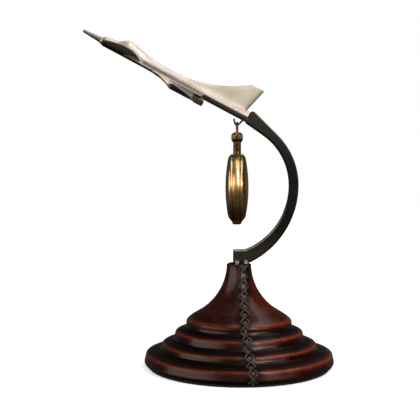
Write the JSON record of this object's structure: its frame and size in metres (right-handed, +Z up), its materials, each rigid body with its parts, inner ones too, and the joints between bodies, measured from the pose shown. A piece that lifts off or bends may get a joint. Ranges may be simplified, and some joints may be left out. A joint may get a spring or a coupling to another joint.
{
  "type": "desk pocket-watch stand",
  "caption": "Desk stand with a stepped leather-covered base, a crescent arm, a delta jet on its tip and a closed pocket watch hanging from a hook.",
  "frame": {"origin": "centre of the base's underside, where the felt rests", "axes": "+Z up; -X the way the jet's nose and the watch's dial face; -Y the laced front of the base"},
  "size_m": [0.1767, 0.1346, 0.2371],
  "materials": {
    "leather": "waxed, semi-gloss",
    "lace": "waxed",
    "felt": "matt",
    "wood": "bare",
    "gunmetal": "satin",
    "nickel": "brushed, warm",
    "dark_nickel": "satin",
    "black": "satin",
    "bronze": "aged, polished",
    "steel": "bright",
    "brass": "bright",
    "glass": "clear",
    "dial": "matt",
    "blued": "blued",
    "plastic": "matt",
    "board": "satin",
    "copper": "enamelled copper wire"
  },
  "bodies": {
    "stand": {"base_leather": "leather", "base_core": "wood", "base_felt": "felt", "lace_under": "lace", "lace_over": "lace", "arm_stud": "steel", "stud_washer": "steel", "stud_nut": "steel", "arm": "gunmetal", "tail_stud": "steel", "fuselage": "nickel", "nose_cone": "nickel", "tail_fin": "nickel", "wing_left": "nickel", "wing_right": "nickel", "engine_pod_left": "nickel", "engine_pod_right": "nickel", "intake_left": "black", "intake_right": "black", "nozzle_left_inner": "dark_nickel", "nozzle_left_outer": "dark_nickel", "nozzle_right_inner": "dark_nickel", "nozzle_right_outer": "dark_nickel", "watch_hook": "black"},
    "bow": {"bow": "bronze"},
    "watch_case": {"case_band": "bronze", "pendant": "bronze", "front_hinge_pin": "steel", "back_hinge_pin": "steel", "bezel": "brass", "crystal": "glass", "dial": "dial", "lock_spring": "steel", "lift_spring": "steel", "movement_ring": "plastic", "main_plate": "brass", "train_bridge": "brass", "bridge_screw_1": "steel", "bridge_screw_2": "steel", "stator": "steel", "drive_coil": "copper", "circuit_board": "board", "coin_cell": "steel"},
    "front_lid": {"front_cover": "bronze"},
    "back_lid": {"back_cover": "bronze"},
    "winding": {"winding_sleeve": "steel"},
    "crown_button": {"crown": "bronze", "crown_stem": "steel"},
    "seconds": {"seconds_wheel": "brass", "seconds_hand": "blued"},
    "third": {"third_wheel": "brass"},
    "minutes": {"centre_wheel": "brass", "cannon_pinion": "steel", "minute_hand": "blued"},
    "minute_works": {"minute_wheel": "brass"},
    "hours": {"hour_wheel": "brass", "hour_hand": "blued"},
    "intermediate": {"intermediate_wheel": "brass"},
    "rotor_shaft": {"rotor": "steel"}
  },
  "joints": [
    {"name": "bow_swing", "type": "hinge", "parent": "stand", "child": "bow", "pos_m": [-0.0014, 0, 0.1717], "axis": [-0.9976, 0.0698, 0], "range_deg": [-25, 25]},
    {"name": "watch_tilt", "type": "hinge", "parent": "bow", "child": "watch_case", "pos_m": [-0.0014, 0, 0.1549], "axis": [0.0698, 0.9976, 0], "range_deg": [-8, 60]},
    {"name": "front_open", "type": "hinge", "parent": "watch_case", "child": "front_lid", "pos_m": [-0.0034, 0.00014, 0.1013], "axis": [-0.0698, -0.9976, 0], "range_deg": [0, 100]},
    {"name": "back_open", "type": "hinge", "parent": "watch_case", "child": "back_lid", "pos_m": [0.0006, -0.00014, 0.1013], "axis": [0.0698, 0.9976, 0], "range_deg": [0, 25]},
    {"name": "crown_turn", "type": "hinge", "parent": "watch_case", "child": "winding", "pos_m": [-0.0014, 0, 0.1562], "axis": [0, 0, 1], "continuous": true},
    {"name": "crown_pull", "type": "slide", "parent": "winding", "child": "crown_button", "axis": [0, 0, 1], "range_m": [-0.0005, 0.001]},
    {"name": "seconds_turn", "type": "hinge", "parent": "watch_case", "child": "seconds", "pos_m": [-0.0014, 0, 0.1177], "axis": [-0.9976, 0.0698, 0], "continuous": true},
    {"name": "third_turn", "type": "hinge", "parent": "watch_case", "child": "third", "pos_m": [-0.00161, -0.00307, 0.12176], "axis": [-0.9976, 0.0698, 0], "continuous": true},
    {"name": "minute_turn", "type": "hinge", "parent": "watch_case", "child": "minutes", "pos_m": [-0.0014, 0, 0.1262], "axis": [-0.9976, 0.0698, 0], "continuous": true},
    {"name": "minute_wheel_turn", "type": "hinge", "parent": "watch_case", "child": "minute_works", "pos_m": [-0.00106, 0.0049, 0.12964], "axis": [-0.9976, 0.0698, 0], "continuous": true},
    {"name": "hour_turn", "type": "hinge", "parent": "watch_case", "child": "hours", "pos_m": [-0.0014, 0, 0.1262], "axis": [-0.9976, 0.0698, 0], "continuous": true},
    {"name": "intermediate_turn", "type": "hinge", "parent": "watch_case", "child": "intermediate", "pos_m": [-0.00115, 0.00359, 0.11986], "axis": [-0.9976, 0.0698, 0], "continuous": true},
    {"name": "rotor_turn", "type": "hinge", "parent": "watch_case", "child": "rotor_shaft", "pos_m": [-0.00091, 0.00697, 0.12109], "axis": [-0.9976, 0.0698, 0], "continuous": true}
  ],
  "couplings": [
    {"joint": "intermediate_turn", "follows": "minute_turn", "ratio": -360},
    {"joint": "seconds_turn", "follows": "minute_turn", "ratio": 60},
    {"joint": "third_turn", "follows": "minute_turn", "ratio": -8},
    {"joint": "rotor_turn", "follows": "minute_turn", "ratio": 1800},
    {"joint": "minute_wheel_turn", "follows": "minute_turn", "ratio": -0.33333},
    {"joint": "hour_turn", "follows": "minute_turn", "ratio": 0.083333}
  ]
}
